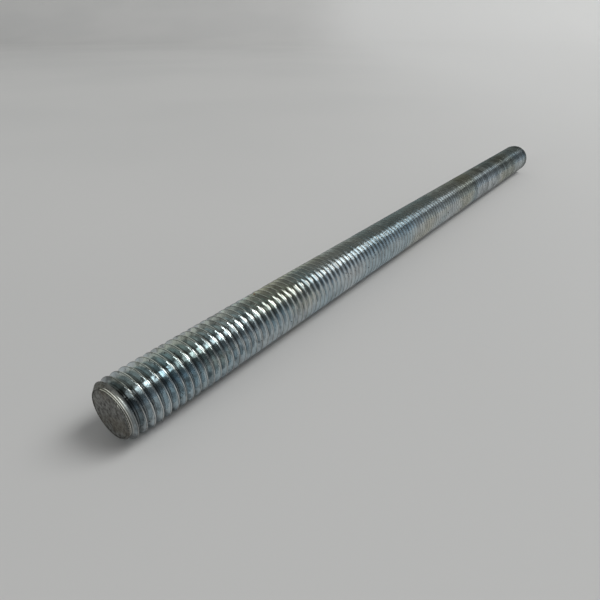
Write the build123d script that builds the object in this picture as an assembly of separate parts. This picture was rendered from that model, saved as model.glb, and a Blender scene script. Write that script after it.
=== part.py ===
from build123d import *
import math
import os

# A fully threaded steel rod with a rolled right-hand metric thread, lying on its side.
# Millimetres. The rod's axis is the X axis, and the origin is at the rod's middle.

# Driving dimensions
ROD_LENGTH = 225.0          # from end face to end face
MAJOR_DIAMETER = 12.0       # across the crests
PITCH = 1.75                # advance in one turn
FLANK_ANGLE = 60.0          # between the two flanks of a groove
CREST_SHARE = 1 / 8         # flat at the crest, as a share of the pitch
ROOT_SHARE = 1 / 6          # flat at the root, as a share of the pitch
CHAMFER_ANGLE = 45.0        # between the chamfer and the rod's axis
CHAMFER_BELOW_ROOT = 0.03   # the chamfer starts this far inside the root
THREAD_START_TURN = 0.556   # where the thread starts round the first end face, in turns
SPARE_TURNS = 2             # turns made beyond each end face, then cut away

# Sizes that follow from them
CREST_FLAT = CREST_SHARE * PITCH
ROOT_FLAT = ROOT_SHARE * PITCH
FLANK_LENGTH = (PITCH - CREST_FLAT - ROOT_FLAT) / 2
GROOVE_DEPTH = FLANK_LENGTH / math.tan(math.radians(FLANK_ANGLE / 2))
CREST_RADIUS = MAJOR_DIAMETER / 2
ROOT_RADIUS = CREST_RADIUS - GROOVE_DEPTH
END_FACE_RADIUS = ROOT_RADIUS - CHAMFER_BELOW_ROOT
CHAMFER_LENGTH = (CREST_RADIUS - END_FACE_RADIUS) / math.tan(math.radians(CHAMFER_ANGLE))
TURNS = math.ceil(ROD_LENGTH / PITCH) + 2 * SPARE_TURNS


def thread_profile():
    """One groove and one crest as (radius, height) corners, from root to next root."""
    crest_start = ROOT_FLAT + FLANK_LENGTH
    return [
        (ROOT_RADIUS, 0),
        (ROOT_RADIUS, ROOT_FLAT),
        (CREST_RADIUS, crest_start),
        (CREST_RADIUS, crest_start + CREST_FLAT),
        (ROOT_RADIUS, PITCH),
    ]


def one_turn_helix(radius, height):
    """A right-hand helix of one turn about Z that starts at this height, at angle 0."""
    return Edge.make_helix(PITCH, PITCH, radius).moved(Location((0, 0, height)))


def one_turn_faces():
    """The root, flank, crest and flank of a single turn, as four helical faces."""
    helices = [one_turn_helix(radius, height) for radius, height in thread_profile()]
    return [Face.make_surface_from_curves(low, high) for low, high in zip(helices, helices[1:])]


def end_cap_faces():
    """The helical step and the flat wall that close the thread where it stops."""
    axis_edge = Edge.make_line((0, 0, 0), (0, 0, PITCH))
    step = Face.make_surface_from_curves(axis_edge, one_turn_helix(ROOT_RADIUS, 0))
    corners = [(radius, 0, height) for radius, height in thread_profile()]
    wall = Face(Wire.make_polygon([(0, 0, 0), *corners, (0, 0, PITCH)], close=True))
    return [step, wall]


def endless_thread():
    """A threaded bar about Z that runs past both end faces of the rod."""
    turn = one_turn_faces()
    cap = end_cap_faces()
    first = -PITCH * SPARE_TURNS
    faces = []
    for index in range(TURNS):
        place = Location((0, 0, first + index * PITCH))
        faces += [face.moved(place) for face in turn]
    for height in (first, first + TURNS * PITCH):
        faces += [face.moved(Location((0, 0, height))) for face in cap]
    bar = Solid(Shell(faces))
    return bar.rotate(Axis.Z, 360 * THREAD_START_TURN)


def chamfered_blank():
    """The plain bar with its two chamfered ends, about Z, with no thread."""
    outline = Polyline(
        (0, 0),
        (END_FACE_RADIUS, 0),
        (CREST_RADIUS, CHAMFER_LENGTH),
        (CREST_RADIUS, ROD_LENGTH - CHAMFER_LENGTH),
        (END_FACE_RADIUS, ROD_LENGTH),
        (0, ROD_LENGTH),
        close=True,
    )
    return revolve(Plane.XZ * make_face(outline), Axis.Z)


def threaded_rod():
    """The rod as it lies: cut to length from the threaded bar and laid along X."""
    upright = endless_thread() & chamfered_blank()
    lying = upright.rotate(Axis.Y, 90)
    return lying.moved(Location((-ROD_LENGTH / 2, 0, 0)))


os.makedirs("parts", exist_ok=True)
rod = threaded_rod()
export_step(rod, "parts/threaded_rod.step")
print(f"threaded_rod: {len(rod.solids())} solid, {rod.volume:.1f} cubic mm, {len(rod.faces())} faces")
print(f"root diameter {2 * ROOT_RADIUS:.3f}, groove depth {GROOVE_DEPTH:.4f}, chamfer {CHAMFER_LENGTH:.3f}")
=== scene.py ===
"""Looks of a fully threaded, zinc-plated steel rod that lies on a pale table.

Metres throughout, in the frame of the CAD part: the rod's axis is X and the origin is at the
rod's middle. The rod is one closed mesh that follows the helix of the thread, with its two
chamfered ends cut and capped.
"""

import logging
import math
import random
from dataclasses import dataclass, field
from enum import Enum

import bmesh
import bpy
import numpy as np
from mathutils import Matrix, Vector


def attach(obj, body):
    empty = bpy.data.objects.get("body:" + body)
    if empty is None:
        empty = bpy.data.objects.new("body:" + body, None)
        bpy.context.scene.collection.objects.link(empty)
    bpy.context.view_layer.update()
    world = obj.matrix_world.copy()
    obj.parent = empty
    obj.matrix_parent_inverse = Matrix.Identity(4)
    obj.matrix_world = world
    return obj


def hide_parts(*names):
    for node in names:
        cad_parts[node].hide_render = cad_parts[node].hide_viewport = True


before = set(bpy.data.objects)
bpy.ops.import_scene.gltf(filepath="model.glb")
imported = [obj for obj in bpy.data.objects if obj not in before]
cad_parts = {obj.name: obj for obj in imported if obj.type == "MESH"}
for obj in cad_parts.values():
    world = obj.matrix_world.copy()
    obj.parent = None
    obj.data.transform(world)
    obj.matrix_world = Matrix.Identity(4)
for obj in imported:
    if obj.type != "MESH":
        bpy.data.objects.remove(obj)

ROOT_BODY = "root"
CAD_NODE = "threaded_rod"
MM = 0.001

log = logging.getLogger("rod")

Colour = tuple[float, float, float, float]
Triple = tuple[float, float, float]
# Where a range starts and ends.
Span = tuple[float, float]
# A range, and the results at its start and its end.
Ramp = tuple[float, float, float, float]
# A noise's scale, its octaves and, where it differs from the usual, how strong the finer ones are.
Grain = tuple[float, ...]


class Finish(Enum):
    """The finishes of the rod, by the index of their material slot."""

    ZINC = 0
    CUT_END = 1


class NodeTree:
    """A short way to add and join the nodes of one material or world."""

    def __init__(self, tree: bpy.types.NodeTree) -> None:
        """Empties a node tree and keeps it.

        Args:
            tree: The tree to fill.
        """
        self.tree = tree
        tree.nodes.clear()

    def add(self, kind: str, settings: dict | None = None, **inputs: object) -> bpy.types.Node:
        """Adds a node, sets its options and sets or joins its inputs.

        Args:
            kind: The node's type, without the leading "ShaderNode".
            settings: Options of the node, by attribute name.
            **inputs: Socket values or output sockets; an underscore stands for a space.

        Returns:
            The new node.
        """
        node = self.tree.nodes.new("ShaderNode" + kind)
        for name, value in (settings or {}).items():
            setattr(node, name, value)
        for name, value in inputs.items():
            self.put(node, name.replace("_", " "), value)
        return node

    def put(self, node: bpy.types.Node, socket: str | int, value: object) -> None:
        """Sets one input of a node, or joins an output to it.

        Args:
            node: The node that has the input.
            socket: The input's name or index.
            value: A constant or an output socket.
        """
        target = node.inputs[socket]
        if isinstance(value, bpy.types.NodeSocket):
            self.tree.links.new(value, target)
        else:
            target.default_value = value

    def math(self, operation: str, first: object, second: object = 0.0) -> bpy.types.NodeSocket:
        """Adds a math node.

        Args:
            operation: The name of the operation.
            first: The first number or output.
            second: The second number or output.

        Returns:
            The result's output.
        """
        node = self.add("Math", {"operation": operation})
        self.put(node, 0, first)
        self.put(node, 1, second)
        return node.outputs[0]

    def remap(self, value: object, low: object, high: object, to_low: float = 0.0,
              to_high: float = 1.0) -> bpy.types.NodeSocket:
        """Maps a range of a value to another range, smoothly and clamped.

        Args:
            value: The output to map.
            low: Where the range starts.
            high: Where the range ends.
            to_low: The result at the start.
            to_high: The result at the end.

        Returns:
            The result's output.
        """
        node = self.add("MapRange", {"interpolation_type": "SMOOTHSTEP"}, Value=value,
                        From_Min=low, From_Max=high, To_Min=to_low, To_Max=to_high)
        return node.outputs["Result"]

    def noise(self, vector: object, scale: float, detail: float,
              roughness: float = 0.5) -> bpy.types.NodeSocket:
        """Adds a noise texture.

        Args:
            vector: The coordinates.
            scale: The noise's scale.
            detail: The number of octaves.
            roughness: How strong the finer octaves are.

        Returns:
            The noise's output, from 0 to 1.
        """
        node = self.add("TexNoise", Vector=vector, Scale=scale, Detail=detail, Roughness=roughness)
        return node.outputs[0]

    def stretched(self, vector: object, stretch: Triple) -> bpy.types.NodeSocket:
        """Adds a noise texture whose scale differs from one axis to another.

        Args:
            vector: The coordinates.
            stretch: The noise's scale along each axis.

        Returns:
            The noise's output, from 0 to 1.
        """
        return self.noise(self.scaled(vector, stretch), 1.0, 2.0)

    def rings(self, radius: bpy.types.NodeSocket, scale: float) -> bpy.types.NodeSocket:
        """Adds noise that depends on the radius alone, as turning leaves it.

        Args:
            radius: The distance from the rod's axis.
            scale: The noise's scale.

        Returns:
            The noise's output, from 0 to 1.
        """
        node = self.add("TexNoise", {"noise_dimensions": "1D"}, W=radius, Scale=scale, Detail=2.0)
        return node.outputs[0]

    def mix(self, factor: object, first: object, second: object) -> bpy.types.NodeSocket:
        """Mixes two colours.

        Args:
            factor: How much of the second colour shows.
            first: The first colour.
            second: The second colour.

        Returns:
            The mixed colour's output.
        """
        node = self.add("Mix", {"data_type": "RGBA"})
        self.put(node, 0, factor)
        self.put(node, 6, first)
        self.put(node, 7, second)
        return node.outputs[2]

    def scaled(self, vector: object, scale: Triple) -> bpy.types.NodeSocket:
        """Multiplies a vector by another, part by part.

        Args:
            vector: The vector's output.
            scale: The three factors.

        Returns:
            The result's output.
        """
        node = self.add("VectorMath", {"operation": "MULTIPLY"})
        self.put(node, 0, vector)
        self.put(node, 1, scale)
        return node.outputs[0]

    def towards(self, vector: object, direction: Triple) -> bpy.types.NodeSocket:
        """How far a vector goes in a direction.

        Args:
            vector: The vector's output.
            direction: The direction, of length 1.

        Returns:
            The distance's output.
        """
        node = self.add("VectorMath", {"operation": "DOT_PRODUCT"})
        self.put(node, 0, vector)
        self.put(node, 1, direction)
        return node.outputs["Value"]

    def radius(self, place: bpy.types.NodeSocket) -> bpy.types.NodeSocket:
        """The distance from the rod's axis.

        Args:
            place: The coordinates on the rod.

        Returns:
            The distance's output.
        """
        node = self.add("VectorMath", {"operation": "LENGTH"})
        self.put(node, 0, self.scaled(place, (0.0, 1.0, 1.0)))
        return node.outputs["Value"]


def blank_material(name: str) -> tuple[bpy.types.Material, NodeTree]:
    """Makes a material with no nodes.

    Args:
        name: The material's name.

    Returns:
        The material and its node tree.
    """
    made = bpy.data.materials.new(name)
    made.use_nodes = True
    return made, NodeTree(made.node_tree)


@dataclass(frozen=True)
class ZincLayers:
    """The outputs that the zinc plate's colour, haze and relief share.

    `ahead` is X, `share` is the place across the thread, from 0 in one root to 1 in the next, and
    `radius` is the distance from the axis. `tip` is 1 beside each end face and 0 on the rod.
    """

    place: bpy.types.NodeSocket
    ahead: bpy.types.NodeSocket
    share: bpy.types.NodeSocket
    radius: bpy.types.NodeSocket
    streaks: bpy.types.NodeSocket
    patches: bpy.types.NodeSocket
    pits: bpy.types.NodeSocket
    tip: bpy.types.NodeSocket


@dataclass(frozen=True)
class ZincFinish:
    """Bright zinc plate on a rolled thread: hazy and tinted, with small pits, and with painted
    shade in the roots, beside the crests and across the far half.

    Names in _grain and _stretch describe a noise. The others that hold two or four numbers say
    over which range of a noise, a place or a radius something appears, and how strongly.
    """

    name: str = "zinc_plate"
    bright: Colour = (0.67, 0.72, 0.742, 1)
    teal: Colour = (0.50, 0.61, 0.665, 1)
    olive: Colour = (0.58, 0.57, 0.46, 1)
    # Dark colour for real dirt, pits and smudges, and also for painted shade in the roots, beside
    # the crests and across the far half.
    dirt_and_shade: Colour = (0.060, 0.062, 0.060, 1)
    rust: Colour = (0.32, 0.14, 0.05, 1)
    worn: Colour = (0.86, 0.84, 0.79, 1)
    turned: Colour = (0.13, 0.125, 0.105, 1)
    streak_stretch: Triple = (0.9, 26.0, 1.0)
    streak_grain: Grain = (1.0, 4.0, 0.6)
    patch_grain: Grain = (330.0, 4.0, 0.6)
    fine_grain: Grain = (5200.0, 3.0, 0.6)
    haze: Ramp = (0.3, 0.75, 0.09, 0.24)
    streak_haze: Ramp = (0.35, 0.8, 0.0, 0.06)
    pit_haze: float = 0.3
    tip_haze: float = 0.38
    streak_relief: float = 0.5
    fine_relief: float = 0.35
    pit_relief: float = 1.6
    relief_strength: float = 0.6
    relief_depth: float = 0.022 * MM
    wobble_grain: Grain = (750.0, 2.0, 0.6)
    wobble_strength: float = 0.9
    wobble_depth: float = 0.055 * MM
    pit_scale: float = 1150.0
    pit_edge: Ramp = (0.12, 0.26, 1.0, 0.0)
    pit_grain: Grain = (420.0, 2.0)
    pit_rarity: Span = (0.55, 0.63)
    pit_strength: float = 0.9
    tip_place: Span = (111.35 * MM, 111.95 * MM)
    tip_strength: float = 0.9
    ring_scale: float = 5200.0
    ring_place: Span = (0.56, 0.62)
    cloud_grain: Grain = (55.0, 3.0)
    cloud_place: Span = (0.38, 0.62)
    olive_stretch: Triple = (38.0, 60.0, 60.0)
    olive_share: Ramp = (0.50, 0.72, 0.0, 0.75)
    mottle_share: Ramp = (0.45, 0.75, 0.0, 0.35)
    # Dark in the thread roots, partly dirt and partly painted shade: where it starts, how uneven
    # its edge is, how far up the flanks it reaches from the near part to the far part, and how
    # dark it is.
    root_radius: float = 4.93 * MM
    root_unevenness: float = 0.5 * MM
    root_shade_reach: Ramp = (-75 * MM, -15 * MM, 0.26 * MM, 0.80 * MM)
    root_dirt_and_shade: float = 0.72
    crest_share: float = 0.5
    # Where the dark lines beside the crests start and fade; they are partly dirt and partly
    # painted shade.
    line_start: Span = (0.030, 0.050)
    line_end: Ramp = (0.080, 0.115, 0.60, 0.0)
    worn_crest: Ramp = (0.022, 0.040, 0.75, 0.0)
    end_place: Ramp = (107.6 * MM, 111.0 * MM, 0.0, 0.62)
    end_patches: Ramp = (0.3, 0.6, 0.55, 1.0)
    smudge_stretch: Triple = (900.0, 420.0, 420.0)
    smudge_share: Ramp = (0.50, 0.62, 0.0, 0.55)
    smudge_place: Ramp = (-95 * MM, -55 * MM, 0.8, 0.25)
    # Painted shade: dark bands across the rod over its far half, standing for the dark lines
    # between the far turns.
    band_stretch: Triple = (950.0, 45.0, 45.0)
    band_share: Ramp = (0.45, 0.62, 0.0, 0.42)
    band_place: Span = (0.0, 60 * MM)
    rust_grain: Grain = (760.0, 1.0)
    rust_place: Span = (0.79, 0.84)

    def material(self) -> bpy.types.Material:
        """Builds the material.

        Returns:
            The material.
        """
        made, nodes = blank_material(self.name)
        layers = self.layers(nodes)
        shader = nodes.add("BsdfPrincipled", Base_Color=self.colour(nodes, layers), Metallic=1.0,
                           Roughness=self.roughness(nodes, layers),
                           Normal=self.relief(nodes, layers))
        nodes.add("OutputMaterial", Surface=shader.outputs[0])
        return made

    def layers(self, nodes: NodeTree) -> ZincLayers:
        """Builds the outputs that several parts of the material share.

        Args:
            nodes: The material's tree.

        Returns:
            The outputs.
        """
        place = nodes.add("TexCoord").outputs["Object"]
        along = nodes.add("TexCoord").outputs["UV"]
        ahead = nodes.add("SeparateXYZ", Vector=place).outputs["X"]
        return ZincLayers(
            place=place,
            ahead=ahead,
            share=nodes.add("SeparateXYZ", Vector=along).outputs["Y"],
            radius=nodes.radius(place),
            streaks=nodes.noise(nodes.scaled(along, self.streak_stretch), *self.streak_grain),
            patches=nodes.noise(place, *self.patch_grain),
            pits=self.pits(nodes, place),
            tip=nodes.remap(nodes.math("ABSOLUTE", ahead), *self.tip_place),
        )

    def pits(self, nodes: NodeTree, place: bpy.types.NodeSocket) -> bpy.types.NodeSocket:
        """Sparse small pits, 1 at a pit and 0 elsewhere.

        Args:
            nodes: The material's tree.
            place: The coordinates.

        Returns:
            The pits' output.
        """
        cells = nodes.add("TexVoronoi", Vector=place, Scale=self.pit_scale, Randomness=1.0)
        dots = nodes.remap(cells.outputs["Distance"], *self.pit_edge)
        rare = nodes.remap(nodes.noise(place, *self.pit_grain), *self.pit_rarity)
        return nodes.math("MULTIPLY", dots, rare)

    def roughness(self, nodes: NodeTree, layers: ZincLayers) -> bpy.types.NodeSocket:
        """How hazy the plate is: more in patches, streaks and pits, and most at the tips.

        Args:
            nodes: The material's tree.
            layers: The shared outputs.

        Returns:
            The roughness's output.
        """
        haze = nodes.math("ADD", nodes.remap(layers.patches, *self.haze),
                          nodes.remap(layers.streaks, *self.streak_haze))
        haze = nodes.math("ADD", haze, nodes.math("MULTIPLY", layers.pits, self.pit_haze))
        return nodes.math("ADD", haze, nodes.math("MULTIPLY", layers.tip, self.tip_haze))

    def relief(self, nodes: NodeTree, layers: ZincLayers) -> bpy.types.NodeSocket:
        """The fine relief of streaks, grain and pits, on top of a slight wobble.

        Args:
            nodes: The material's tree.
            layers: The shared outputs.

        Returns:
            The normal's output.
        """
        grain = nodes.noise(layers.place, *self.fine_grain)
        height = nodes.math("ADD", nodes.math("MULTIPLY", layers.streaks, self.streak_relief),
                            nodes.math("MULTIPLY", grain, self.fine_relief))
        height = nodes.math("SUBTRACT", height,
                            nodes.math("MULTIPLY", layers.pits, self.pit_relief))
        wobble = nodes.add("Bump", Strength=self.wobble_strength, Distance=self.wobble_depth,
                           Height=nodes.noise(layers.place, *self.wobble_grain))
        bump = nodes.add("Bump", Strength=self.relief_strength, Distance=self.relief_depth,
                         Height=height, Normal=wobble.outputs[0])
        return bump.outputs[0]

    def colour(self, nodes: NodeTree, layers: ZincLayers) -> bpy.types.NodeSocket:
        """The plate's colour, from its tints to the pits and the specks of rust.

        Args:
            nodes: The material's tree.
            layers: The shared outputs.

        Returns:
            The colour's output.
        """
        clouds = nodes.noise(layers.place, *self.cloud_grain)
        colour = nodes.mix(nodes.remap(clouds, *self.cloud_place), self.teal, self.bright)
        olive = nodes.stretched(layers.place, self.olive_stretch)
        colour = nodes.mix(nodes.remap(olive, *self.olive_share), colour, self.olive)
        colour = nodes.mix(nodes.remap(layers.patches, *self.mottle_share), colour, self.dirt_and_shade)
        colour = self.thread_lines(nodes, layers, colour)
        colour = self.worn_ends(nodes, layers, colour)
        # Painted shade: dark bands about a millimetre apart across the far half of the rod.
        painted_shade_bands = nodes.stretched(layers.place, self.band_stretch)
        painted_shade_bands = nodes.math("MULTIPLY", nodes.remap(painted_shade_bands, *self.band_share),
                           nodes.remap(layers.ahead, *self.band_place))
        colour = nodes.mix(painted_shade_bands, colour, self.dirt_and_shade)
        pits = nodes.math("MULTIPLY", layers.pits, self.pit_strength)
        colour = nodes.mix(pits, colour, self.dirt_and_shade)
        specks = nodes.remap(nodes.noise(layers.place, *self.rust_grain), *self.rust_place)
        return nodes.mix(specks, colour, self.rust)

    def thread_lines(self, nodes: NodeTree, layers: ZincLayers,
                     colour: bpy.types.NodeSocket) -> bpy.types.NodeSocket:
        """Adds dark in the roots, partly dirt and partly painted shade, reaching further up the
        flanks towards the far end; dark lines beside the crests that are partly dirt and partly
        painted shade; and wear on the crests.

        Args:
            nodes: The material's tree.
            layers: The shared outputs.
            colour: The colour so far.

        Returns:
            The new colour's output.
        """
        # Dark in the roots, partly dirt and partly painted shade: it reaches further up the flanks
        # towards the far end, where the neighbouring turns shade the roots.
        uneven = nodes.math("MULTIPLY", nodes.math("SUBTRACT", layers.streaks, 0.5),
                            self.root_unevenness)
        reach = nodes.remap(layers.ahead, *self.root_shade_reach)
        root_dirt_and_shade_mask = nodes.remap(nodes.math("ADD", layers.radius, uneven), self.root_radius,
                           nodes.math("ADD", reach, self.root_radius), self.root_dirt_and_shade, 0.0)
        colour = nodes.mix(root_dirt_and_shade_mask, colour, self.dirt_and_shade)
        # Dark lines at the edges of each crest: partly dirt and partly painted shade where the
        # crest turns down into the flanks.
        beside = nodes.math("ABSOLUTE", nodes.math("SUBTRACT", layers.share, self.crest_share))
        lines = nodes.math("MULTIPLY", nodes.remap(beside, *self.line_start),
                           nodes.remap(beside, *self.line_end))
        colour = nodes.mix(lines, colour, self.dirt_and_shade)
        return nodes.mix(nodes.remap(beside, *self.worn_crest), colour, self.worn)

    def worn_ends(self, nodes: NodeTree, layers: ZincLayers,
                  colour: bpy.types.NodeSocket) -> bpy.types.NodeSocket:
        """Adds the dull first turns, smudges towards the near end, and the turned tips.

        Args:
            nodes: The material's tree.
            layers: The shared outputs.
            colour: The colour so far.

        Returns:
            The new colour's output.
        """
        ends = nodes.math("MULTIPLY", nodes.remap(layers.patches, *self.end_patches),
                          nodes.remap(nodes.math("ABSOLUTE", layers.ahead), *self.end_place))
        colour = nodes.mix(ends, colour, self.dirt_and_shade)
        smudges = nodes.stretched(layers.place, self.smudge_stretch)
        smudges = nodes.math("MULTIPLY", nodes.remap(smudges, *self.smudge_share),
                             nodes.remap(layers.ahead, *self.smudge_place))
        colour = nodes.mix(smudges, colour, self.dirt_and_shade)
        colour = nodes.mix(nodes.math("MULTIPLY", layers.tip, self.tip_strength), colour,
                           self.turned)
        rings = nodes.remap(nodes.rings(layers.radius, self.ring_scale), *self.ring_place)
        return nodes.mix(nodes.math("MULTIPLY", layers.tip, rings), colour, self.worn)


@dataclass(frozen=True)
class CutEndFinish:
    """The sawn and turned end: dull dark steel with turning rings, stains and pits, and painted
    shade in the groove round the face.
    """

    name: str = "cut_end"
    steel: Colour = (0.21, 0.207, 0.197, 1)
    dark: Colour = (0.05, 0.048, 0.044, 1)
    stain: Colour = (0.12, 0.10, 0.07, 1)
    polished: Colour = (0.16, 0.165, 0.16, 1)
    metallic: float = 0.75
    roughness: Ramp = (0.3, 0.7, 0.48, 0.7)
    ring_scale: float = 5200.0
    ring_place: Span = (0.5, 0.62)
    ring_relief: float = 0.8
    patch_grain: Grain = (1300.0, 4.0, 0.65)
    patch_place: Span = (0.35, 0.7)
    fine_grain: Grain = (4200.0, 3.0, 0.6)
    fine_relief: float = 0.7
    pit_grain: Grain = (900.0, 1.0)
    pit_place: Span = (0.66, 0.72)
    pit_strength: float = 0.85
    stain_grain: Grain = (260.0, 2.0)
    stain_share: Ramp = (0.50, 0.66, 0.0, 0.4)
    polished_radius: Span = (4.8 * MM, 5.05 * MM)
    # The painted shade in the groove round the end face: where it starts, where it fades, and how
    # dark it is.
    seam_inner: Span = (4.58 * MM, 4.68 * MM)
    seam_outer: Ramp = (4.80 * MM, 4.90 * MM, 1.0, 0.0)
    groove_shade_strength: float = 0.92
    relief_strength: float = 0.7
    relief_depth: float = 0.04 * MM

    def material(self) -> bpy.types.Material:
        """Builds the material.

        Returns:
            The material.
        """
        made, nodes = blank_material(self.name)
        place = nodes.add("TexCoord").outputs["Object"]
        radius = nodes.radius(place)
        rings = nodes.rings(radius, self.ring_scale)
        patches = nodes.noise(place, *self.patch_grain)
        pits = nodes.remap(nodes.noise(place, *self.pit_grain), *self.pit_place)
        colour = nodes.mix(nodes.remap(patches, *self.patch_place), self.steel, self.dark)
        stains = nodes.remap(nodes.noise(place, *self.stain_grain), *self.stain_share)
        colour = nodes.mix(stains, colour, self.stain)
        polished = nodes.math("MULTIPLY", nodes.remap(radius, *self.polished_radius),
                              nodes.remap(rings, *self.ring_place))
        colour = nodes.mix(polished, colour, self.polished)
        colour = nodes.mix(nodes.math("MULTIPLY", pits, self.pit_strength), colour, self.dark)
        # Painted shade: a dark ring painted over the groove round the end face.
        seam = nodes.math("MULTIPLY", nodes.remap(radius, *self.seam_inner),
                          nodes.remap(radius, *self.seam_outer))
        colour = nodes.mix(nodes.math("MULTIPLY", seam, self.groove_shade_strength), colour, self.dark)
        grain = nodes.noise(place, *self.fine_grain)
        height = nodes.math("ADD", nodes.math("MULTIPLY", rings, self.ring_relief),
                            nodes.math("MULTIPLY", grain, self.fine_relief))
        bump = nodes.add("Bump", Strength=self.relief_strength, Distance=self.relief_depth,
                         Height=nodes.math("SUBTRACT", height, pits))
        shader = nodes.add("BsdfPrincipled", Base_Color=colour, Metallic=self.metallic,
                           Roughness=nodes.remap(patches, *self.roughness),
                           Normal=bump.outputs[0])
        nodes.add("OutputMaterial", Surface=shader.outputs[0])
        return made


@dataclass
class Rod:
    """The whole rod: the helical surface, its chamfers and its two capped ends.

    Places across the thread are shares of the pitch: 0 is a root's middle and 0.5 a crest's.
    `ding_form` gives the steps beside a ding and their share of its depth. `cap_rings` gives the
    rings of an end face, each with its share of the rim's radius and how far it is sunk. The
    depths of dings and rings are in millimetres.
    """

    length: float = 225 * MM
    pitch: float = 1.75 * MM
    crest_radius: float = 5.985 * MM
    root_radius: float = 4.9265 * MM
    end_radius: float = 4.8965 * MM
    root_half: float = 1 / 12
    crest_half: float = 1 / 16
    root_corner: float = 0.055
    root_rounding: float = 0.012 * MM
    flank_ends: Span = (0.105, 0.415)
    flank_middle: float = 0.26
    flank_column: int = 3
    shoulder: float = 0.437
    shoulder_drop: float = 0.022 * MM
    crest_edge: float = 0.457
    seam_drop: float = 0.035 * MM
    start_turn: float = 0.556
    segments: int = 52
    spare: int = 2
    seed: int = 17
    dings: int = 420
    ding_margin: int = 3
    ding_depth: Span = (0.04, 0.15)
    ding_columns: tuple[int, ...] = (6, 7, 8)
    ding_half: int = 2
    ding_form: tuple[tuple[int, float], ...] = ((-1, 0.45), (0, 1.0), (1, 0.5))
    cap_rings: tuple[tuple[float, float], ...] = (
        (0.985, 0.0), (0.962, 0.13), (0.938, 0.03), (0.88, 0.02), (0.72, 0.05),
        (0.52, 0.03), (0.32, 0.06), (0.14, 0.04),
    )
    cap_unevenness: float = 0.018
    cap_middle: float = 0.03
    chamfer_band: float = 0.04 * MM
    face_band: float = 0.12 * MM
    slope: float = field(init=False, repr=False)
    shares: np.ndarray = field(init=False, repr=False)
    radii: np.ndarray = field(init=False, repr=False)

    def __post_init__(self) -> None:
        """Works out the thread's form as columns across one pitch."""
        self.slope = (self.crest_radius - self.root_radius) / (
            0.5 - self.crest_half - self.root_half)
        low, high = self.flank_ends
        half = [
            (0.0, self.root_radius),
            (self.root_corner, self.root_radius + self.root_rounding),
            (low, self.flank_radius(low)),
            (self.flank_middle, self.flank_radius(self.flank_middle)),
            (high, self.flank_radius(high)),
            (self.shoulder, self.crest_radius - self.shoulder_drop),
            (self.crest_edge, self.crest_radius),
        ]
        seam = [(0.5, self.crest_radius - self.seam_drop)]
        other = [(1 - share, radius) for share, radius in reversed(half[1:])]
        form = np.array(half + seam + other)
        self.shares = form[:, 0]
        self.radii = form[:, 1]

    def flank_radius(self, share: float | np.ndarray) -> float | np.ndarray:
        """The radius on the rising flank at a share of the pitch from the root's middle."""
        return self.root_radius + (share - self.root_half) * self.slope

    def envelope(self, height: np.ndarray) -> np.ndarray:
        """The largest radius that the chamfered ends leave at a height from the first end."""
        return self.end_radius + np.minimum(height, self.length - height)

    def grid(self) -> tuple[np.ndarray, np.ndarray, np.ndarray]:
        """Places every point of the helical surface.

        Returns:
            Heights and radii, one row for each step round the helix and one column for each
            point of the thread's form, and the shares of the pitch of these points.
        """
        steps = math.ceil((self.length / self.pitch + 1 + self.spare) * self.segments)
        base = (np.arange(steps) / self.segments - self.spare + self.root_half) * self.pitch
        shares = np.tile(self.shares, (steps, 1))
        radii = np.tile(self.radii, (steps, 1))
        for column, mirrored in ((self.flank_column, False), (-self.flank_column, True)):
            shares[:, column], radii[:, column] = self.kink(base, mirrored)
        radii -= self.wear(radii.shape)
        heights = base[:, None] + shares * self.pitch
        return heights, np.minimum(radii, self.envelope(heights)), shares

    def kink(self, base: np.ndarray, mirrored: bool) -> tuple[np.ndarray, np.ndarray]:
        """Puts a flank's middle point where the chamfer crosses the flank, if it does.

        Args:
            base: The height of the root's middle at each step round the helix.
            mirrored: True for the flank on the far side of the crest.

        Returns:
            The shares of the pitch and the radii of the flank's middle points.
        """
        gaps = []
        for share in self.flank_ends:
            place = 1 - share if mirrored else share
            gaps.append(self.flank_radius(share) - self.envelope(base + place * self.pitch))
        low, high = gaps
        crossed = low * high < 0
        part = np.where(crossed, low / np.where(crossed, low - high, 1), 0.5)
        share = self.flank_ends[0] + part * (self.flank_ends[1] - self.flank_ends[0])
        return (1 - share if mirrored else share), self.flank_radius(share)

    def wear(self, shape: tuple[int, int]) -> np.ndarray:
        """How far handling has knocked the crests down, with small dings at seeded places.

        Args:
            shape: Steps round the helix and points of the thread's form.

        Returns:
            The loss of radius at every point.
        """
        rng = random.Random(self.seed)
        loss = np.zeros(shape)
        for _ in range(self.dings):
            step = rng.randrange(self.ding_margin, shape[0] - self.ding_margin - 1)
            depth = rng.uniform(*self.ding_depth) * MM
            middle = rng.choice(self.ding_columns)
            columns = slice(middle - self.ding_half, middle + self.ding_half + 1)
            for offset, share in self.ding_form:
                loss[step + offset, columns] = depth * share
        return loss

    def build(self) -> bpy.types.Object:
        """Builds the closed mesh of the rod.

        Returns:
            The rod's object, not yet dressed.
        """
        heights, radii, shares = self.grid()
        steps, columns = heights.shape
        turns = np.arange(steps) / self.segments + self.start_turn
        angle = 2 * math.pi * turns[:, None]
        points = np.stack([heights - self.length / 2, radii * np.sin(angle),
                           -radii * np.cos(angle)], axis=2).reshape(-1, 3)
        quads, uvs = self.quads(steps, columns, shares)
        mesh = bpy.data.meshes.new("rod_thread")
        mesh.from_pydata(points.tolist(), [], quads.tolist())
        layer = mesh.uv_layers.new(name="thread")
        layer.data.foreach_set("uv", uvs.astype(np.float32).ravel())
        self.cut_and_cap(mesh)
        self.smooth(mesh)
        rod = bpy.data.objects.new("rod_thread", mesh)
        bpy.context.scene.collection.objects.link(rod)
        return rod

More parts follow.
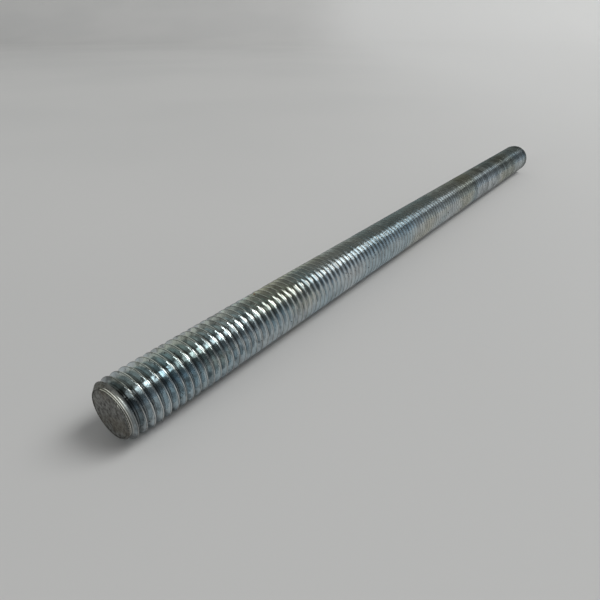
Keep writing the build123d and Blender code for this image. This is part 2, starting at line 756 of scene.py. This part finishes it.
    def quads(self, steps: int, columns: int, shares: np.ndarray) -> tuple[np.ndarray, np.ndarray]:
        """Joins the grid's points; the last column meets the first one of the next turn.

        Args:
            steps: Steps round the helix.
            columns: Points of the thread's form.
            shares: Where every point is across the pitch.

        Returns:
            The corners of every face, and the coordinates along and across the thread there.
        """
        number = np.arange(steps * columns).reshape(steps, columns)
        number = np.concatenate([number, np.full((steps, 1), -1)], axis=1)
        number[:-self.segments, -1] = number[self.segments:, 0]
        across = np.concatenate([shares, np.ones((steps, 1))], axis=1)
        along = np.tile((np.arange(steps) / self.segments)[:, None], (1, columns + 1))
        corners = [number[:-1, :-1], number[:-1, 1:], number[1:, 1:], number[1:, :-1]]
        quads = np.stack(corners, axis=2).reshape(-1, 4)
        places = np.stack([along, across], axis=2)
        uvs = np.stack([places[:-1, :-1], places[:-1, 1:], places[1:, 1:], places[1:, :-1]],
                       axis=2).reshape(-1, 4, 2)
        whole = (quads >= 0).all(axis=1)
        return quads[whole], uvs[whole]

    def cut_and_cap(self, mesh: bpy.types.Mesh) -> None:
        """Cuts the surface at both end faces, caps it there and gives out the finishes.

        Args:
            mesh: The helical surface, which is changed.
        """
        work = bmesh.new()
        work.from_mesh(mesh)
        for side in (-1, 1):
            plane = side * self.length / 2
            parts = work.verts[:] + work.edges[:] + work.faces[:]
            bmesh.ops.bisect_plane(work, geom=parts, dist=1e-8, plane_co=(plane, 0, 0),
                                   plane_no=(side, 0, 0), clear_outer=True)
            self.cap(work, side, plane)
        bmesh.ops.recalc_face_normals(work, faces=work.faces[:])
        for face in work.faces:
            face.smooth = True
            face.material_index = self.finish_of(face).value
        work.to_mesh(mesh)
        work.free()

    def cap(self, work: bmesh.types.BMesh, side: int, plane: float) -> None:
        """Closes one end with rings of faces, sunk a little and unevenly.

        Args:
            work: The mesh.
            side: -1 at the first end and 1 at the other.
            plane: Where the end face is on the axis.
        """
        rng = random.Random(self.seed + side)
        rim = self.rim(work, plane)
        ring = rim
        for share, depth in self.cap_rings:
            inner = []
            for vert in rim:
                sunk = (depth + rng.uniform(0.0, self.cap_unevenness)) * MM
                inner.append(work.verts.new((plane - side * sunk, vert.co.y * share,
                                             vert.co.z * share)))
            for index in range(len(rim)):
                after = (index + 1) % len(rim)
                work.faces.new((ring[index], ring[after], inner[after], inner[index]))
            ring = inner
        middle = work.verts.new((plane - side * self.cap_middle * MM, 0, 0))
        for index in range(len(rim)):
            work.faces.new((ring[index], ring[(index + 1) % len(rim)], middle))

    def rim(self, work: bmesh.types.BMesh, plane: float) -> list[bmesh.types.BMVert]:
        """Walks round the open edge at one end face.

        Args:
            work: The mesh.
            plane: Where the end face is on the axis.

        Returns:
            The edge's points in order.
        """
        edges = [edge for edge in work.edges if edge.is_boundary
                 and all(abs(vert.co.x - plane) < 1e-6 for vert in edge.verts)]
        links: dict[bmesh.types.BMVert, list[bmesh.types.BMVert]] = {}
        for edge in edges:
            first, second = edge.verts
            links.setdefault(first, []).append(second)
            links.setdefault(second, []).append(first)
        start = edges[0].verts[0]
        path = [start, links[start][0]]
        while path[-1] is not start:
            one, other = links[path[-1]]
            path.append(other if one is path[-2] else one)
        return path[:-1]

    def finish_of(self, face: bmesh.types.BMFace) -> Finish:
        """Tells which finish a face has: the chamfers and the end faces are bare cut steel.

        Args:
            face: The face.

        Returns:
            Its finish.
        """
        middle = face.calc_center_median()
        left = self.length / 2 - abs(middle.x)
        radius = math.hypot(middle.y, middle.z)
        on_chamfer = radius > self.end_radius + left - self.chamfer_band
        return Finish.CUT_END if on_chamfer or left < self.face_band else Finish.ZINC

    def smooth(self, mesh: bpy.types.Mesh) -> None:
        """Sets normals weighted by area, so that flanks look flat and edges look tight.

        Args:
            mesh: The finished mesh.
        """
        mesh.calc_loop_triangles()
        points = np.empty(len(mesh.vertices) * 3)
        mesh.vertices.foreach_get("co", points)
        points = points.reshape(-1, 3)
        corners = np.empty(len(mesh.loop_triangles) * 3, dtype=np.int64)
        mesh.loop_triangles.foreach_get("vertices", corners)
        corners = corners.reshape(-1, 3)
        first, second, third = (points[corners[:, index]] for index in range(3))
        weighted = np.cross(second - first, third - first)
        normals = np.zeros_like(points)
        for index in range(3):
            np.add.at(normals, corners[:, index], weighted)
        normals /= np.maximum(np.linalg.norm(normals, axis=1, keepdims=True), 1e-20)
        mesh.normals_split_custom_set_from_vertices(normals.tolist())

    def dress(self, rod: bpy.types.Object) -> None:
        """Gives the rod its finishes and ties it to the CAD part.

        Args:
            rod: The rod's object.
        """
        rod.data.materials.append(ZincFinish().material())
        rod.data.materials.append(CutEndFinish().material())
        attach(rod, ROOT_BODY)
        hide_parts(CAD_NODE)


def level(degrees: float) -> Vector:
    """The level direction at an angle from +X towards +Y."""
    return Vector((math.cos(math.radians(degrees)), math.sin(math.radians(degrees)), 0.0))


@dataclass(frozen=True)
class Table:
    """The plain pale table top that the rod lies on, which sweeps up far behind it."""

    height: float = -6.0 * MM
    heading: float = 37.5
    near: float = -2.5
    bend: float = 1.6
    bend_radius: float = 0.8
    bend_angle: float = 75.0
    bend_steps: int = 12
    half_width: float = 3.5
    pale: Colour = (0.62, 0.615, 0.61, 1)
    shade: Colour = (0.595, 0.592, 0.588, 1)
    # Painted light: the top is painted paler towards the camera's right, as though more light
    # falls there.
    bright: Colour = (0.72, 0.718, 0.715, 1)
    painted_light_place: Span = (-0.10, 0.24)
    drift_grain: Grain = (4.0, 2.0)
    drift_place: Span = (0.35, 0.65)
    fine_grain: Grain = (900.0, 2.0)
    roughness: Ramp = (0.3, 0.7, 0.62, 0.7)
    specular: float = 0.2
    relief_strength: float = 0.08
    relief_depth: float = 0.03 * MM

    def profile(self) -> list[tuple[float, float]]:
        """Works out the outline of the level top and of the sweep behind it.

        Returns:
            Distances ahead of the rod's middle, and heights.
        """
        line = [(self.near, self.height), (0.0, self.height), (self.bend, self.height)]
        for step in range(1, self.bend_steps + 1):
            angle = math.radians(self.bend_angle * step / self.bend_steps)
            line.append((self.bend + self.bend_radius * math.sin(angle),
                         self.height + self.bend_radius * (1 - math.cos(angle))))
        return line

    def build(self) -> bpy.types.Object:
        """Builds the table top.

        Returns:
            The table's object.
        """
        turn = Matrix.Rotation(math.radians(self.heading), 4, "Z")
        points = []
        faces = []
        for ahead, height in self.profile():
            for side in (-self.half_width, self.half_width):
                points.append(turn @ Vector((ahead, side, height)))
        for index in range(0, len(points) - 2, 2):
            faces.append((index, index + 2, index + 3, index + 1))
        mesh = bpy.data.meshes.new("table")
        mesh.from_pydata(points, [], faces)
        mesh.shade_smooth()
        mesh.materials.append(self.material())
        table = bpy.data.objects.new("table", mesh)
        bpy.context.scene.collection.objects.link(table)
        return table

    def material(self) -> bpy.types.Material:
        """Builds a smooth matt grey with a faint drift of tone, and painted light that makes it
        paler towards the camera's right.

        Returns:
            The material.
        """
        made, nodes = blank_material("table_top")
        place = nodes.add("TexCoord").outputs["Object"]
        drift = nodes.noise(place, *self.drift_grain)
        fine = nodes.noise(place, *self.fine_grain)
        tone = nodes.mix(nodes.remap(drift, *self.drift_place), self.pale, self.shade)
        # Painted light: the tone grows paler towards the camera's right.
        across = nodes.towards(place, tuple(level(self.heading - 90)))
        tone = nodes.mix(nodes.remap(across, *self.painted_light_place), tone, self.bright)
        bump = nodes.add("Bump", Strength=self.relief_strength, Distance=self.relief_depth,
                         Height=fine)
        shader = nodes.add("BsdfPrincipled", Base_Color=tone, Normal=bump.outputs[0],
                           Roughness=nodes.remap(fine, *self.roughness),
                           Specular_IOR_Level=self.specular)
        nodes.add("OutputMaterial", Surface=shader.outputs[0])
        return made


@dataclass(frozen=True)
class Strip:
    """A long soft strip of daylight on a tilted arc over the table.

    The arc starts level at the heading `run` and peaks, `rise` degrees up, at `run` + `lean`. The
    strip's middle is `along` degrees up the arc.
    """

    name: str
    run: float
    rise: float
    along: float
    half_span: float
    half_width: float
    radiance: float
    colour: Triple = (1.0, 1.0, 1.0)
    lean: float = 90.0
    distance: float = 4.0
    mirrored: bool = True

    def build(self) -> bpy.types.Object:
        """Places the strip, facing the rod.

        Returns:
            The light's object.
        """
        rise = math.radians(self.rise)
        along = math.radians(self.along)
        run = level(self.run)
        up = Vector((0, 0, 1))
        peak = level(self.run + self.lean) * math.cos(rise) + up * math.sin(rise)
        back = run * math.cos(along) + peak * math.sin(along)
        lengthwise = peak * math.cos(along) - run * math.sin(along)
        light = bpy.data.lights.new(self.name, "AREA")
        light.shape = "RECTANGLE"
        light.size = 2 * self.distance * math.tan(math.radians(self.half_span))
        light.size_y = 2 * self.distance * math.tan(math.radians(self.half_width))
        light.energy = self.radiance * math.pi * light.size * light.size_y
        light.color = self.colour
        made = bpy.data.objects.new(self.name, light)
        turned = Matrix((lengthwise, back.cross(lengthwise), back)).transposed().to_4x4()
        made.matrix_world = Matrix.Translation(back * self.distance) @ turned
        made.visible_glossy = self.mirrored
        bpy.context.scene.collection.objects.link(made)
        return made


@dataclass(frozen=True)
class Studio:
    """A dim, soft room with strips of daylight, a light overhead, and the camera."""

    strips: tuple[Strip, ...] = (
        Strip("low_window", 167.8, 47.5, 9.5, 9.5, 11.5, 5.9, (0.95, 1.0, 0.97)),
        Strip("mid_window", 167.8, 47.5, 27.0, 8.0, 8.8, 1.5, (0.91, 0.98, 1.0)),
        Strip("high_window", 167.8, 47.5, 44.0, 9.0, 5.5, 0.55, (0.90, 0.97, 1.0)),
        Strip("far_window", 0.3, 67.3, 58.0, 15.0, 10.0, 3.3, (0.97, 1.0, 0.97), lean=-90.0),
        Strip("overhead", 315.0, 90.0, 52.0, 18.0, 18.0, 3.3, mirrored=False),
    )
    divide: Triple = (0.156, 0.720, 0.675)
    walls: tuple[tuple[float, Colour], ...] = (
        (0.0, (0.130, 0.143, 0.155, 1)),
        (0.42, (0.165, 0.185, 0.200, 1)),
        (0.52, (0.190, 0.203, 0.203, 1)),
        (0.58, (0.200, 0.207, 0.187, 1)),
        (0.80, (0.195, 0.195, 0.168, 1)),
        (1.0, (0.70, 0.76, 0.70, 1)),
    )
    horizon: Ramp = (0.0, 0.40, 2.6, 0.65)
    ambient: Colour = (0.25, 0.25, 0.25, 1)
    behind: Colour = (0.41, 0.41, 0.41, 1)
    camera_place: Triple = (-0.14224, -0.06377, 0.05821)
    camera_heading: float = 37.5
    camera_pitch: float = 29.81
    camera_lens: float = 29.28
    camera_sensor: float = 36.0
    camera_clip: Span = (0.002, 50.0)

    def room(self) -> None:
        """The dim room that the metal mirrors, and the even light that falls on the table."""
        world = bpy.data.worlds.new("room")
        bpy.context.scene.world = world
        world.use_nodes = True
        nodes = NodeTree(world.node_tree)
        towards = nodes.add("TexCoord").outputs["Generated"]
        height = nodes.add("SeparateXYZ", Vector=towards).outputs["Z"]
        side = nodes.math("MULTIPLY", nodes.towards(towards, self.divide), 0.5)
        ramp = nodes.add("ValToRGB", Fac=nodes.math("ADD", side, 0.5))
        elements = ramp.color_ramp.elements
        while len(elements) < len(self.walls):
            elements.new(0.5)
        for element, (place, colour) in zip(elements, self.walls):
            element.position = place
            element.color = colour
        mirrored = nodes.add("Background", Color=ramp.outputs[0],
                             Strength=nodes.remap(height, *self.horizon))
        ambient = nodes.add("Background", Color=self.ambient)
        behind = nodes.add("Background", Color=self.behind)
        path = nodes.add("LightPath")
        first = nodes.add("MixShader", Fac=path.outputs["Is Glossy Ray"])
        nodes.put(first, 1, ambient.outputs[0])
        nodes.put(first, 2, mirrored.outputs[0])
        second = nodes.add("MixShader", Fac=path.outputs["Is Camera Ray"])
        nodes.put(second, 1, first.outputs[0])
        nodes.put(second, 2, behind.outputs[0])
        nodes.add("OutputWorld", Surface=second.outputs[0])

    def camera(self) -> bpy.types.Object:
        """A wide view from low beside the near end, along the rod.

        Returns:
            The camera's object.
        """
        data = bpy.data.cameras.new("camera")
        data.sensor_fit = "HORIZONTAL"
        data.sensor_width = self.camera_sensor
        data.lens = self.camera_lens
        data.clip_start, data.clip_end = self.camera_clip
        made = bpy.data.objects.new("camera", data)
        made.location = self.camera_place
        made.rotation_euler = (math.radians(90 - self.camera_pitch), 0.0,
                               math.radians(self.camera_heading - 90))
        bpy.context.scene.collection.objects.link(made)
        bpy.context.scene.camera = made
        return made

    def build(self) -> None:
        """Builds the lights, the room and the camera, with plain colour handling."""
        for strip in self.strips:
            strip.build()
        self.room()
        self.camera()
        bpy.context.scene.view_settings.view_transform = "Standard"


def main() -> None:
    """Builds the rod, the table and the studio, and reports each."""
    logging.basicConfig(level=logging.INFO, format="%(name)s: %(message)s")
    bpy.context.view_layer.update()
    rod = Rod()
    piece = rod.build()
    rod.dress(piece)
    log.info("%s: %d vertices, %d faces", piece.name, len(piece.data.vertices),
             len(piece.data.polygons))
    table = Table()
    top = table.build()
    log.info("%s at z %.4f", top.name, table.height)
    studio = Studio()
    studio.build()
    log.info("studio: %d lights, room and camera", len(studio.strips))


if __name__ == "__main__":
    main()
